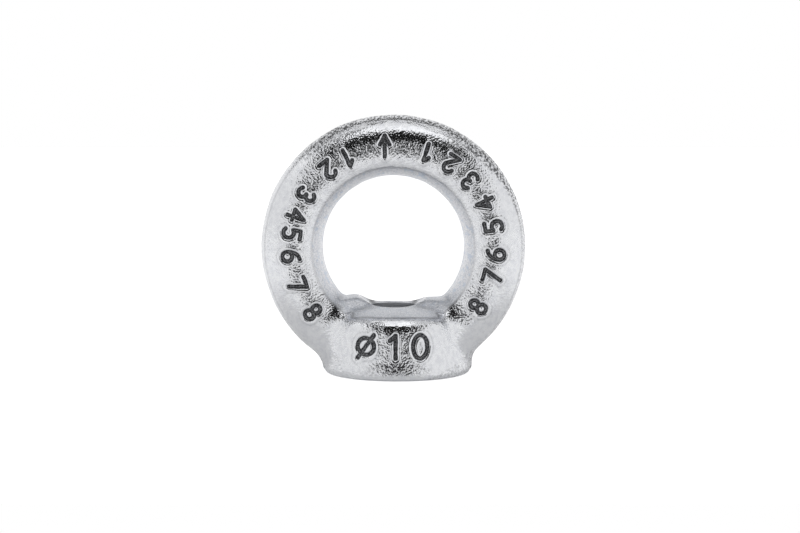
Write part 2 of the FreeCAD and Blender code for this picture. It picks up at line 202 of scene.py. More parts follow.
# Name: distance, first and last azimuth, lowest and highest elevation, brightness
STUDIO = {
    "low_screen": (FAR, (-122, 122), (-40, 36), BLACK_CLOTH),
    "high_screen": (FAR, (-86, 86), (36, 75), BLACK_CLOTH),
    "lamp_left": (MIDDLE, (-122, -10), (-12, 36), 0.9),
    "lamp_right": (MIDDLE, (10, 122), (-12, 36), 0.95),
    "lamp_left_high": (MIDDLE, (-122, -62), (36, 50), 1.1),
    "lamp_right_high": (MIDDLE, (66, 122), (36, 50), 1.0),
    "lamp_top": (MIDDLE, (-62, 76), (56, 80), 1.3),
    "upper_flag": (NEAR, (-35, 37), (18, 56), BLACK_CLOTH),
    "roof_screen": (NEAR, (-60, 60), (102, 127), GREY_CLOTH),
    "left_screen": (NEAR, (-150, -124), (28, 62), GREY_CLOTH),
    "right_screen": (NEAR, (124, 150), (28, 62), GREY_CLOTH),
}
for name, values in STUDIO.items():
    patch = dome_patch(name, *values)
    print(name, [round(side, 2) for side in patch.dimensions])

# %% [markdown]
# ## The table
# A pale table top carries the nut. Its matt white keeps the soft shadow under the boss. A glow
# lifts what the camera sees of it to the white of the room. What the metal sees of it is lifted
# less, and least beside the nut, where the shadow lies.

# %% Table top
TABLE_HALF_WIDTH, TABLE_FRONT, TABLE_BACK = 500 * MM, -115 * MM, 600 * MM

bm = bmesh.new()
bmesh.ops.create_grid(bm, x_segments=1, y_segments=1, size=1)
bmesh.ops.scale(bm, vec=(TABLE_HALF_WIDTH, (TABLE_BACK - TABLE_FRONT) / 2, 1), verts=bm.verts)
bmesh.ops.translate(bm, vec=(0, (TABLE_BACK + TABLE_FRONT) / 2, 0), verts=bm.verts)
table = new_object("table_top", mesh_of(bm, "table_top"))
print("the table measures, in mm:", [round(side / MM) for side in table.dimensions])

# %% Matt white with a glow
MATT_WHITE = (0.9, 0.9, 0.9, 1)
CAMERA_LIFT = 0.75
# The metal's lift beside the nut and away from it, and the distances between which it grows
METAL_LIFTS, LIFT_GROWS = (0.18, 0.5), (32 * MM, 62 * MM)

table_white = bpy.data.materials.new("table_white")
table_white.use_nodes = True
tree = table_white.node_tree
tree.nodes.clear()
place = node(tree, "ShaderNodeTexCoord").outputs["Object"]
distance = node(tree, "ShaderNodeVectorMath", {0: place}, operation="LENGTH").outputs["Value"]
metal_lift = ramp(tree, distance, LIFT_GROWS, METAL_LIFTS, step="LINEAR")
path = node(tree, "ShaderNodeLightPath")
metal_lift = maths(tree, "MULTIPLY", path.outputs["Is Glossy Ray"], metal_lift)
lift = maths(tree, "MULTIPLY_ADD", path.outputs["Is Camera Ray"], CAMERA_LIFT, metal_lift)
matt = node(tree, "ShaderNodeBsdfDiffuse", {"Color": MATT_WHITE})
glow = node(tree, "ShaderNodeEmission", {"Strength": lift})
both = node(tree, "ShaderNodeAddShader", {0: matt.outputs[0], 1: glow.outputs[0]})
node(tree, "ShaderNodeOutputMaterial", {"Surface": both.outputs[0]})
table.data.materials.append(table_white)
print("the camera sees the table lifted by", CAMERA_LIFT, "and the metal by", METAL_LIFTS)

# %% [markdown]
# ## The forged blank
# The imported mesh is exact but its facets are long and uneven, which no fine skin can follow.
# A copy of it is welded, its bore is closed again as it was before drilling, and a voxel
# remesh lays an even net of small squares over it. The net is then drawn back onto the exact
# faces and smoothed a little, which takes away the last steps between the facets.

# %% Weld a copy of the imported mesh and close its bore
WELD = 0.002 * MM
BORE_REACH = 6.0 * MM
BORE_FACING = 0.5


def faces_axis(middle, normal, reach, facing):
    """Whether a face lies within reach of the thread's axis and looks towards it."""
    outward = Vector((middle.x, middle.y, 0))
    return outward.length < reach and normal.dot(outward.normalized()) < -facing


def closed_blank():
    """The nut's skin without the bore, as one closed bmesh."""
    bm = bmesh.new()
    bm.from_mesh(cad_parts[CAD_NODE].data)
    bmesh.ops.remove_doubles(bm, verts=bm.verts, dist=WELD)
    bore = [face for face in bm.faces
            if faces_axis(face.calc_center_median(), face.normal, BORE_REACH, BORE_FACING)]
    bmesh.ops.delete(bm, geom=bore, context="FACES")
    rims = [edge for edge in bm.edges if edge.is_boundary]
    bmesh.ops.holes_fill(bm, edges=rims, sides=0)
    bmesh.ops.triangulate(bm, faces=[face for face in bm.faces if len(face.verts) > 3])
    print(len(bore), "bore faces closed,", len(rims), "rim edges, open edges left:",
          sum(edge.is_boundary for edge in bm.edges))
    return bm


blank = closed_blank()
exact_faces = BVHTree.FromBMesh(blank)

# %% Lay an even net over the blank
NET = 0.35 * MM
SMOOTHINGS = 10


def evaluated(obj):
    """The mesh that an object's modifiers make."""
    bpy.context.view_layer.update()
    graph = bpy.context.evaluated_depsgraph_get()
    return bpy.data.meshes.new_from_object(obj.evaluated_get(graph), depsgraph=graph)


pattern = new_object("blank_pattern", mesh_of(blank, "blank_pattern"))
remesh = pattern.modifiers.new("even_net", "REMESH")
remesh.mode = "VOXEL"
remesh.voxel_size = NET
net = evaluated(pattern)
bpy.data.objects.remove(pattern)

forging = bmesh.new()
forging.from_mesh(net)
for vert in forging.verts:
    vert.co = exact_faces.find_nearest(vert.co)[0]
for _ in range(SMOOTHINGS):
    bmesh.ops.smooth_vert(forging, verts=forging.verts, factor=0.5,
                          use_axis_x=True, use_axis_y=True, use_axis_z=True)
print("the blank has", len(forging.faces), "squares")

# %% [markdown]
# ## What the hammer leaves uneven
# No forging is as true as its drawing. The boss of this one stands a little to the right of the
# ring, the eye sits a little high with one shoulder of its floor higher still, and a low seam runs
# round the rim where the dies met and the flash was trimmed off. Over all that, the skin is
# lumpy where scale was hammered in. It could be sculpted by hand, but here each of these is a
# soft field over the skin, from 0 to 1, times the height or the shift that it stands for. Fields
# flow into each other without a step, and each one can be read and changed by itself.

# %% Helpers for soft fields
RING_MIDDLE = Vector((0, 0, 21.5)) * MM


def rise(value, start, end):
    """0 before the start, 1 past the end and a soft slope between them."""
    t = np.clip((value - start) / (end - start), 0, 1)
    return t * t * (3 - 2 * t)


def fade(value, start, end):
    return 1 - rise(value, start, end)


ROUND, FLAT, FLATTEST = 2, 4, 6


def bell(value, middle, width, power=ROUND):
    """1 at the middle and near 0 past the width, with a top as round or flat as its power."""
    return np.exp(-((value - middle) / width) ** power)


def lumps(places, width, seed):
    """Smooth noise between -1 and 1 with lumps of about one width."""
    shift = Vector((seed, 2 * seed, 3 * seed))
    return np.array([noise.noise(Vector(place) / width + shift) for place in places])


def skin_places():
    """Where each point of the skin is and how it faces, as arrays."""
    forging.normal_update()
    return (np.array([vert.co for vert in forging.verts]),
            np.array([vert.normal for vert in forging.verts]))


# %% Shift of the boss and lift of the eye
# A pair is where a field starts and ends, in height, in depth or from the ring's middle
BOSS_SHIFT, EYE_LIFT, SHOULDER_LIFT = 0.68 * MM, 0.19 * MM, 0.42 * MM
FOOT = (0.8, 5.2)
FRONT_SHARE, FRONT_DEPTH, FRONT_TOP = 0.75, (0, 12), (10, 15)
EYE_REACH, EYE_BOTTOM = (14.2, 16.5), (12.5, 15.0)
SHOULDER_MIDDLE, SHOULDER_WIDTH, SHOULDER_DEPTH = -6.6, 1.6, (2.5, 4.5)
SHOULDER_BOTTOM, SHOULDER_TOP = (11.0, 12.2), (13.3, 15.5)

places, outward = skin_places()
x, y, z = places.T / MM
from_axis = np.hypot(x, z - RING_MIDDLE.z / MM)
at_foot = fade(z, *FOOT)
at_front = FRONT_SHARE * rise(np.abs(y), *FRONT_DEPTH) * fade(z, *FRONT_TOP)
on_boss = at_foot + (1 - at_foot) * at_front
by_eye = fade(from_axis, *EYE_REACH) * rise(z, *EYE_BOTTOM)
shoulder = bell(x, SHOULDER_MIDDLE, SHOULDER_WIDTH) * fade(np.abs(y), *SHOULDER_DEPTH)
shoulder *= rise(z, *SHOULDER_BOTTOM) * fade(z, *SHOULDER_TOP)
to_right = BOSS_SHIFT * on_boss
upwards = EYE_LIFT * by_eye + SHOULDER_LIFT * shoulder
print("the highest lift is", round(upwards.max() / MM, 2), "mm")

# %% Seam and lumps
SEAM_HALF_WIDTH, SEAM_HEIGHT, TRIM_HEIGHT = 0.75 * MM, 0.07 * MM, 0.14 * MM
SEAM_EDGE, SEAM_RIM, SEAM_FOOT, TRIM_FOOT = (0.7, 1.1), (20.8, 21.8), (0.4, 0.8), (2.5, 4.5)
SEAM_LEAST, SEAM_WAVES, SEAM_WAVE_WIDTH, SEAM_SEED = 0.8, 0.6, 5 * MM, 3.0
LUMPS = ((4.0 * MM, 0.045 * MM), (1.7 * MM, 0.022 * MM), (0.9 * MM, 0.010 * MM))
FLAT_BASE = (0.1, 0.8)

seam = fade(np.abs(y) * MM / SEAM_HALF_WIDTH, *SEAM_EDGE) * rise(from_axis, *SEAM_RIM)
waves = SEAM_LEAST + SEAM_WAVES * lumps(places, SEAM_WAVE_WIDTH, SEAM_SEED)
seam *= rise(z, *SEAM_FOOT) * waves
swell = seam * (SEAM_HEIGHT + TRIM_HEIGHT * fade(z, *TRIM_FOOT))
for seed, (width, height) in enumerate(LUMPS, 1):
    swell += height * lumps(places, width, seed) * rise(z, *FLAT_BASE)
moved = places + outward * swell[:, None]
moved[:, 0] += to_right
moved[:, 2] += upwards
for vert, place in zip(forging.verts, moved):
    vert.co = place
print("no point moved further than, in mm:", round(np.abs(moved - places).max() / MM, 2))

# %% [markdown]
# ## Marks sunk by the die
# Each mark stands up in the die, so the steel flows round it and is left with a rounded groove
# and a raised rim. Text cut in with a boolean would leave sharp steps instead. So a mark here is
# a few centre lines, and every point of the skin is pushed in or out by its distance from the
# nearest line. That needs small squares only beside the lines, so the net is cut finer there
# first. The marks are plain numbers that count from the arrow, which shows the direction of the
# pull, and the nominal size of the thread on the boss.

# %% Centre lines of the marks, one unit high
def arc(centre, radii, start, end, points=13):
    """Points on an ellipse from one angle to another, in degrees, counter-clockwise from the right."""
    angles = np.radians(np.linspace(start, end, points))
    return np.column_stack([centre[0] + radii[0] * np.cos(angles),
                            centre[1] + radii[1] * np.sin(angles)])


def lines(*corners):
    return np.array(corners, float)


TOP, BASE, SIDE = 0.405, -0.405, 0.25
GLYPHS = {
    "0": [arc((0, 0), (SIDE, TOP), 0, 360, 25)],
    "1": [lines((-0.17, 0.22), (0.03, TOP), (0.03, BASE))],
    "2": [arc((0, 0.175), (0.225, 0.23), 165, -25), lines((0.2, 0.08), (-SIDE, BASE), (SIDE, BASE))],
    "3": [arc((-0.02, 0.2), (0.2, 0.205), 150, -90), arc((-0.02, -0.2), (0.225, 0.205), 90, -150)],
    "4": [lines((0.1, BASE), (0.1, TOP), (-SIDE, -0.13), (0.26, -0.13))],
    "5": [lines((0.21, TOP), (-0.17, TOP), (-0.2, 0.06)), arc((-0.03, -0.155), (0.24, 0.25), 130, -140)],
    "6": [arc((0.21, -0.16), (0.44, 0.56), 97, 180), arc((0, -0.175), (0.23, 0.23), 0, 360, 25)],
    "7": [lines((-SIDE, TOP), (0.24, TOP), (-0.06, BASE))],
    "8": [arc((0, 0.21), (0.185, 0.195), 0, 360, 21), arc((0, -0.195), (0.225, 0.21), 0, 360, 25)],
    "arrow": [lines((0, BASE), (0, TOP)), lines((-0.18, 0.06), (0, TOP), (0.18, 0.06)),
              lines((-0.1, 0.13), (0, 0.3), (0.1, 0.13)), lines((-0.04, 0.12), (0.04, 0.12))],
    "across": [arc((0, 0), (0.29, 0.29), 0, 360, 25), lines((-0.29, -0.4), (0.29, 0.4))],
}
print(len(GLYPHS), "marks are drawn")

# %% Places of the marks on the ring and the boss
MARK_RADIUS = 17.35 * MM
DIGIT_HEIGHT, ARROW_HEIGHT, BOSS_HEIGHT = 3.6 * MM, 4.4 * MM, 4.75 * MM
ARROW_PLACE = np.array([-1.45, 38.95]) * MM
# Degrees from the ring's top: to the left, below 0, and to the right
LEFT_ANGLES = (-26.7, -39.0, -57.9, -70.7, -81.3, -94.0, -110.4, -128.0)
RIGHT_ANGLES = (18.9, 33.7, 47.9, 63.2, 77.0, 93.0, 105.6, 124.3)
BOSS_MARKS = (("across", -4.6 * MM), ("1", 0.24 * MM), ("0", 4.5 * MM))
BOSS_MARK_LEVEL = 5.7 * MM
RIGHT, UP = np.array([1.0, 0.0]), np.array([0.0, 1.0])


def on_ring(angle):
    """Middle, right and up of a mark at an angle from the ring's top; it is read from inside the eye."""
    a = math.radians(angle)
    outward = np.array([math.sin(a), math.cos(a)])
    middle = np.array([RING_MIDDLE.x, RING_MIDDLE.z]) + outward * MARK_RADIUS
    return middle, np.array([-outward[1], outward[0]]), -outward


def placed(glyph, height, middle, right, up):
    """A mark's centre lines as (x, z) points, with its height."""
    return [middle + height * (line[:, :1] * right + line[:, 1:] * up) for line in GLYPHS[glyph]], height


marks = [placed("arrow", ARROW_HEIGHT, ARROW_PLACE, RIGHT, UP)]
for angles in (LEFT_ANGLES, RIGHT_ANGLES):
    for number, angle in enumerate(angles, 1):
        marks.append(placed(str(number), DIGIT_HEIGHT, *on_ring(angle)))
for glyph, across in BOSS_MARKS:
    marks.append(placed(glyph, BOSS_HEIGHT, np.array([across, BOSS_MARK_LEVEL]), RIGHT, UP))
print(len(marks), "marks are placed")


# %% Distance from the marks
LEAST_FORWARD = 0.35


def distance_to_marks(points):
    """How far each (x, z) point lies from the nearest centre line."""
    nearest = np.full(len(points), np.inf)
    for drawn, height in marks:
        middle = np.mean([line.mean(axis=0) for line in drawn], axis=0)
        close = np.flatnonzero(np.hypot(*(points - middle).T) < height)
        for line in drawn:
            for start, end in zip(line[:-1], line[1:]):
                run = end - start
                along = np.clip((points[close] - start) @ run / (run @ run), 0, 1)
                gap = np.hypot(*(points[close] - start - along[:, None] * run).T)
                nearest[close] = np.minimum(nearest[close], gap)
    return nearest


def front_and_gaps():
    """The points of the skin that face forward, and how far each is from the marks."""
    forging.normal_update()
    forward = [v for v in forging.verts if v.co.y < 0 and v.normal.y < -LEAST_FORWARD]
    return forward, distance_to_marks(np.array([(v.co.x, v.co.z) for v in forward]))


# %% Cut the net finer beside the marks
FINER = (1.15 * MM, 0.85 * MM)
ROUNDED_CUT = 0.4

for reach in FINER:
    forward, gaps = front_and_gaps()
    near = {vert for vert, gap in zip(forward, gaps) if gap < reach}
    edges = [edge for edge in forging.edges if edge.verts[0] in near and edge.verts[1] in near]
    bmesh.ops.subdivide_edges(forging, edges=edges, cuts=1, use_grid_fill=True, smooth=ROUNDED_CUT)
    print(len(edges), "edges cut,", len(forging.faces), "faces")

# %% Press the marks in
GROOVE_HALF_WIDTH, GROOVE_DEPTH, GROOVE_FLAT_SHARE = 0.46 * MM, 0.40 * MM, 0.2
RIM_DISTANCE, RIM_WIDTH, RIM_HEIGHT = 0.68 * MM, 0.22 * MM, 0.10 * MM
RIM_REACH, RIM_SMOOTH_SHARE = 1.05 * MM, 0.75
# A thin line of painted shade lies in the crease at the outer foot of each mark's rim
CONTOUR_DISTANCE, CONTOUR_WIDTH = 1.0 * MM, 0.09 * MM
WAVER, WAVER_SEED = ((0.9 * MM, 0.06 * MM), (0.35 * MM, 0.025 * MM)), 5.0

groove_layer = forging.verts.layers.float.new("groove")
coined_layer = forging.verts.layers.float.new("coined")
contour_layer = forging.verts.layers.float.new("contour")
forward, gaps = front_and_gaps()
for width, height in WAVER:
    gaps += height * lumps([vert.co for vert in forward], width, WAVER_SEED)
sunk = fade(gaps, GROOVE_FLAT_SHARE * GROOVE_HALF_WIDTH, GROOVE_HALF_WIDTH)
raised = bell(gaps, RIM_DISTANCE, RIM_WIDTH)
coined = fade(gaps, RIM_SMOOTH_SHARE * RIM_REACH, RIM_REACH)
contour = bell(gaps, CONTOUR_DISTANCE, CONTOUR_WIDTH)
for vert, down, up, smooth, foot in zip(forward, sunk, raised, coined, contour):
    vert.co.y += GROOVE_DEPTH * down - RIM_HEIGHT * up
    vert[groove_layer] = down
    vert[coined_layer] = smooth
    vert[contour_layer] = foot
print("the grooves are", GROOVE_DEPTH / MM, "mm deep")

# %% [markdown]
# ## Where the finish of the skin changes
# The punched eye is duller and greyer than the rest, and it is coloured darker towards its floor.
# Along the top of the rim the flash was cut off, which left scores, and there are pits under the
# marks of the boss too. Both get dark specks painted into their colour, a painted reflection of
# the black cloth.
# The crown of the ring and the brow of the boss were rubbed smooth. Each of these is a mask, a
# number from 0 to 1 on every point of the skin that the material reads. A painted picture could
# hold them as well, but numbers on the points need no unwrapping and follow the shape.

# %% Helpers for masks
def store(name, values):
    """Keeps a mask on the skin; where it is there already, the larger value stays."""
    layers = forging.verts.layers.float
    layer = layers.get(name) or layers.new(name)
    for vert, value in zip(forging.verts, values):
        vert[layer] = max(vert[layer], value)
    print(name, "is over a half on", int((values > 0.5).sum()), "points")


places, facing = skin_places()
x, y, z = places.T / MM
from_axis = np.hypot(x, z - RING_MIDDLE.z / MM)
angle = np.degrees(np.arctan2(x, z - RING_MIDDLE.z / MM))
in_front = y < 0

# %% The eye and its floor
EYE_EDGE = (13.55, 14.15)
BOSS_FACING, BOSS_TOP = (0.33, 0.5), 10.75
FLOOR_TOP = (12.6, 15.5)

front_of_boss = rise(np.abs(facing[:, 1]), *BOSS_FACING) * (z < BOSS_TOP)
store("eye", fade(from_axis, *EYE_EDGE) * (1 - front_of_boss))
store("floor", fade(z, *FLOOR_TOP))

# %% The edge where the flash was cut off, and the pits at the foot, both with painted dark specks
TRIM_START, TRIM_START_AT_SIDES, TRIM_SLOPE = 21.6, 20.8, 0.5
SIDE_ANGLE, SIDE_WIDTH = 45, 20
OVER_TOP, THIN_RIGHT, THINNING = (-50, -36), (62, 85), 0.7
BOSS_DEPTH, BOSS_MIDDLE, BOSS_HALF_WIDTH = (6, 9), 0.7, 5.4
FOOT_PITS_AND_SPECKS, FOOT_LEVEL, FOOT_WIDTH = 0.45, 1.8, 0.9

start = TRIM_START + (TRIM_START_AT_SIDES - TRIM_START) * bell(np.abs(angle), SIDE_ANGLE, SIDE_WIDTH)
over_top = rise(angle, *OVER_TOP) * (1 - THINNING * rise(angle, *THIN_RIGHT))
scores_and_painted_specks = over_top * rise(from_axis, start, start + TRIM_SLOPE)
on_front = rise(-y, *BOSS_DEPTH) * bell(x, BOSS_MIDDLE, BOSS_HALF_WIDTH, FLATTEST)
foot_pits_and_specks = FOOT_PITS_AND_SPECKS * on_front * bell(z, FOOT_LEVEL, FOOT_WIDTH, FLAT)
# The scored rim and the pits at the foot get relief from this mask, and painted dark specks in the
# colour
store("scores_and_painted_specks", np.maximum(scores_and_painted_specks, foot_pits_and_specks))

# %% Places rubbed smooth, and a line of painted shade along the outer rim
RUBBED = 0.8
CROWN_RADIUS, CROWN_WIDTH, CROWN_START, CROWN_END = 21.0, 0.65, (-30, -16), (26, 42)
BROW_LEVEL, BROW_WIDTH = 9.85, 0.55
SHADE_LINE_RADIUS, SHADE_LINE_WIDTH, SHADE_LINE_START, SHADE_LINE_END = 21.85, 0.13, (40, 50), (105, 125)

crown = bell(from_axis, CROWN_RADIUS, CROWN_WIDTH, FLAT) * in_front
crown *= rise(angle, *CROWN_START) * fade(angle, *CROWN_END)
brow = bell(z, BROW_LEVEL, BROW_WIDTH, FLAT) * on_front
store("coined", RUBBED * np.maximum(crown, brow))
# A thin line of painted shade along the outer rim on both sides, kept in the contour mask
rim_shade_line = bell(from_axis, SHADE_LINE_RADIUS, SHADE_LINE_WIDTH) * in_front
rim_shade_line *= rise(np.abs(angle), *SHADE_LINE_START) * fade(np.abs(angle), *SHADE_LINE_END)
store("contour", rim_shade_line)

# %% [markdown]
# ## Drilled and tapped
# The hole is made last, as in the workshop, so that its edges stay crisp on the rough blank, and
# the cut faces get a smoother finish of their own. A bump could hint at the thread, but it would
# leave the mouth of the hole round and plain. One cutter is the drill with its two countersinks,
# a profile spun round the axis. The other is the tap: a bar with the section of the thread
# groove, spun round the same axis while it climbs one pitch a turn.

# %% The drill with its countersinks
BORE_RADIUS = 4.25 * MM
SINK_RADIUS, EYE_SINK_RADIUS = 5.5 * MM, 5.7 * MM
FLOOR_HEIGHT = 12.84 * MM
CUTTER_OVERRUN = 3.0 * MM
DRILL_STEPS = 144
AXIS = (0, 0, 1)


def drill():
    """The drill and both countersinks as one closed solid."""
    profile = [(0, -CUTTER_OVERRUN), (SINK_RADIUS + CUTTER_OVERRUN, -CUTTER_OVERRUN),
               (BORE_RADIUS, SINK_RADIUS - BORE_RADIUS),
               (BORE_RADIUS, FLOOR_HEIGHT - (EYE_SINK_RADIUS - BORE_RADIUS)),
               (EYE_SINK_RADIUS + CUTTER_OVERRUN, FLOOR_HEIGHT + CUTTER_OVERRUN),
               (0, FLOOR_HEIGHT + CUTTER_OVERRUN)]
    bm = bmesh.new()
    verts = [bm.verts.new((radius, 0, level)) for radius, level in profile]
    edges = [bm.edges.new(pair) for pair in zip(verts, verts[1:])]
    bmesh.ops.spin(bm, geom=edges, cent=(0, 0, 0), axis=AXIS, angle=math.tau, steps=DRILL_STEPS,
                   use_merge=True)
    bmesh.ops.remove_doubles(bm, verts=bm.verts, dist=WELD)
    bmesh.ops.recalc_face_normals(bm, faces=bm.faces)
    return new_object("drill", mesh_of(bm, "drill"))


# %% The tap
PITCH = 1.5 * MM
THREAD_MAJOR_RADIUS = 5.0 * MM
FLANK_ANGLE = math.radians(30)
TAP_OVERLAP = 0.3 * MM
TAP_STEPS = 96


def tap():
    """A bar with the section of the thread groove, wound up the bore."""
    inner = BORE_RADIUS - TAP_OVERLAP
    root_half = PITCH / 16
    foot_half = root_half + (THREAD_MAJOR_RADIUS - inner) * math.tan(FLANK_ANGLE)
    section = [(inner, -foot_half), (THREAD_MAJOR_RADIUS, -root_half),
               (THREAD_MAJOR_RADIUS, root_half), (inner, foot_half)]
    turns = math.ceil(FLOOR_HEIGHT / PITCH) - 1
    bm = bmesh.new()
    bar_end = bm.faces.new([bm.verts.new((radius, 0, level - PITCH)) for radius, level in section])
    bmesh.ops.spin(bm, geom=[bar_end], cent=(0, 0, 0), axis=AXIS, angle=math.tau * turns,
                   steps=TAP_STEPS * turns, dvec=(0, 0, PITCH / TAP_STEPS))
    bmesh.ops.recalc_face_normals(bm, faces=bm.faces)
    return new_object("tap", mesh_of(bm, "tap"))


# %% Cut the hole
nut = new_object("nut_forging", mesh_of(forging, "nut_forging"))
for cutter in (drill(), tap()):
    cut = nut.modifiers.new(cutter.name, "BOOLEAN")
    cut.operation = "DIFFERENCE"
    cut.solver = "EXACT"
    cut.object = cutter
    cut_mesh = evaluated(nut)
    nut.modifiers.clear()
    nut.data = cut_mesh
    bpy.data.objects.remove(cutter)
    print("after cutting:", len(nut.data.vertices), "points")

# %% Faces left by the tools
MACHINED_REACH, MACHINED_FACING = 5.9 * MM, 0.3
BASE_SKIN, BASE_FACING = 0.05 * MM, 0.9

machined = 0
for face in nut.data.polygons:
    bored = faces_axis(face.center, face.normal, MACHINED_REACH, MACHINED_FACING)
    faced = face.center.z < BASE_SKIN and face.normal.z < -BASE_FACING
    face.material_index = int(bored or faced)
    machined += bored or faced
print(machined, "faces are cut by a tool")

# %% [markdown]
# ## Zinc on a forged skin
# Zinc plating follows the skin under it, so the steel's grain stays: small dents left by
# scale and shot, each one a tiny mirror. Where a dent tips away from the lamps it shows the
# black cloth, and that makes the dark specks. Painted specks would be simpler, but they would
# stay put in any light, so most specks here come from a bump. The colour, though, has painted
# shade in the grooves, on thin lines round the marks, the eye's lip and the outer rim, and
# painted dark specks on the scored rim and the pits at the foot; it also dulls the eye. Both
# materials of the nut need the grain, so it is a group.

# %% Group: the grain of a forged skin
FLOAT, VECTOR = "NodeSocketFloat", "NodeSocketVector"
DENT_SMOOTHNESS = 0.6
FINE_SCALE, FINE_DETAIL = 5.2, 1.0
BROAD_SCALE, BROAD_DETAIL = 1.1, 2.0

grain_group = bpy.data.node_groups.new("forged_grain", "ShaderNodeTree")
grain_group.interface.new_socket("Place", in_out="INPUT", socket_type=VECTOR)
for name, value in (("Dents a millimetre", 3.0), ("Fine share", 0.4)):
    socket = grain_group.interface.new_socket(name, in_out="INPUT", socket_type=FLOAT)
    socket.default_value = value
for name in ("Height", "Wear", "Speck"):
    grain_group.interface.new_socket(name, in_out="OUTPUT", socket_type=FLOAT)
given = node(grain_group, "NodeGroupInput").outputs
dents = node(grain_group, "ShaderNodeTexVoronoi",
             {"Vector": given["Place"], "Scale": given["Dents a millimetre"],
              "Smoothness": DENT_SMOOTHNESS}, feature="SMOOTH_F1")
fine = node(grain_group, "ShaderNodeTexNoise",
            {"Vector": given["Place"], "Scale": FINE_SCALE, "Detail": FINE_DETAIL})
broad = node(grain_group, "ShaderNodeTexNoise",
             {"Vector": given["Place"], "Scale": BROAD_SCALE, "Detail": BROAD_DETAIL})
fine_part = maths(grain_group, "MULTIPLY", fine.outputs["Fac"], given["Fine share"])
height = maths(grain_group, "ADD", dents.outputs["Distance"], fine_part)
height = maths(grain_group, "ADD", height, broad.outputs["Fac"])
node(grain_group, "NodeGroupOutput",
     {"Height": height, "Wear": broad.outputs["Fac"], "Speck": fine.outputs["Fac"]})
print("the group forged_grain has", len(grain_group.nodes), "nodes")


# %% Helpers for the materials
def new_material(name):
    """A material, its tree and its shader."""
    material = bpy.data.materials.new(name)
    material.use_nodes = True
    return material, material.node_tree, material.node_tree.nodes["Principled BSDF"]


def placed_grain(tree, **values):
    """The grain group on an object's own coordinates, in millimetres."""
    place = node(tree, "ShaderNodeTexCoord").outputs["Object"]
    place = node(tree, "ShaderNodeMapping", {"Vector": place, "Scale": (1 / MM,) * 3}).outputs[0]
    grain = node(tree, "ShaderNodeGroup", node_tree=grain_group)
    tree.links.new(place, grain.inputs["Place"])
    for name, value in values.items():
        grain.inputs[name.replace("_", " ")].default_value = value
    return place, grain.outputs


def mixed(tree, factor, first, second):
    """A colour between two others, each one a value or an output."""
    made = node(tree, "ShaderNodeMix", {"Factor": factor}, data_type="RGBA")
    for socket, value in (("A", first), ("B", second)):
        end = next(i for i in made.inputs if i.name == socket and i.type == "RGBA")
        if isinstance(value, bpy.types.NodeSocket):
            tree.links.new(value, end)
        else:
            end.default_value = value
    return next(o for o in made.outputs if o.type == "RGBA")


def mask(tree, name):
    return node(tree, "ShaderNodeAttribute", attribute_name=name).outputs["Fac"]


# %% Material: zinc on the forged skin
skin, tree, shader = new_material("zinc_forged")
place, grain = placed_grain(tree)
eye, floor, coined = mask(tree, "eye"), mask(tree, "floor"), mask(tree, "coined")
groove, contour, scores_and_painted_specks = mask(tree, "groove"), mask(tree, "contour"), mask(tree, "scores_and_painted_specks")
print("the skin reads", sum(n.type == "ATTRIBUTE" for n in tree.nodes), "masks")

# %% Zinc on the forged skin: scores and grooves
SCORES_STRETCH, SCORES_SCALE, SCORES_DETAIL = (1, 0.4, 1), 2.6, 2.0
IN_GROOVE = (0.12, 0.75)

# The scores run across the rim, so their noise is drawn out along Y
along_y = node(tree, "ShaderNodeMapping", {"Vector": place, "Scale": SCORES_STRETCH}).outputs[0]
scores = node(tree, "ShaderNodeTexNoise", {"Vector": along_y, "Scale": SCORES_SCALE,
                                           "Detail": SCORES_DETAIL}).outputs["Fac"]
in_groove = ramp(tree, groove, IN_GROOVE)
print("a groove is dark from", IN_GROOVE[1], "of its depth")

# %% Zinc on the forged skin: colour
ZINC, ZINC_SHADE, ZINC_WEAR = (0.77, 0.78, 0.80, 1), (0.69, 0.70, 0.73, 1), (0.35, 0.7)
# The near black, levels and share of the dark specks painted on the scored rim and on the pits at the
# foot
PAINTED_DARK_SPECKS, SPECK_LEVELS, SPECK_SHARE = (0.06, 0.06, 0.065, 1), (0.44, 0.6), 0.9
EYE_ZINC, EYE_SHADE, EYE_SPECKS = (0.93, 0.93, 0.95, 1), (0.68, 0.70, 0.74, 1), (0.36, 0.6)
EYE_BLUE, EYE_WEAR = (0.66, 0.72, 0.81, 1), (0.52, 0.72)
FLOOR_TONE, FLOOR_SPECKS, FLOOR_SHARES = (0.58, 0.60, 0.64, 1), (0.4, 0.62), (1, 0.35)

bright = mixed(tree, ramp(tree, grain["Wear"], ZINC_WEAR), ZINC, ZINC_SHADE)
# Dark specks painted on the scored rim and the pits at the foot, a painted reflection of the black cloth
painted_specks = maths(tree, "MULTIPLY", ramp(tree, scores, SPECK_LEVELS, (0, SPECK_SHARE)), scores_and_painted_specks)
bright = mixed(tree, painted_specks, bright, PAINTED_DARK_SPECKS)
dull = mixed(tree, ramp(tree, grain["Speck"], EYE_SPECKS), EYE_SHADE, EYE_ZINC)
dull = mixed(tree, ramp(tree, grain["Wear"], EYE_WEAR), dull, EYE_BLUE)
# The eye is coloured darker towards its floor, in specks
on_floor = maths(tree, "MULTIPLY", floor, ramp(tree, grain["Speck"], FLOOR_SPECKS, FLOOR_SHARES))
dull = mixed(tree, on_floor, dull, FLOOR_TONE)
tone = mixed(tree, eye, bright, dull)
print("the zinc runs from", ZINC[:3], "to", ZINC_SHADE[:3])

# %% Zinc on the forged skin: painted shade in the grooves, on thin lines and on the eye's lip
# The near black of the painted shade in the grooves, on the thin lines and on the eye's lip
PAINTED_SHADE_COLOUR = (0.05, 0.051, 0.055, 1)
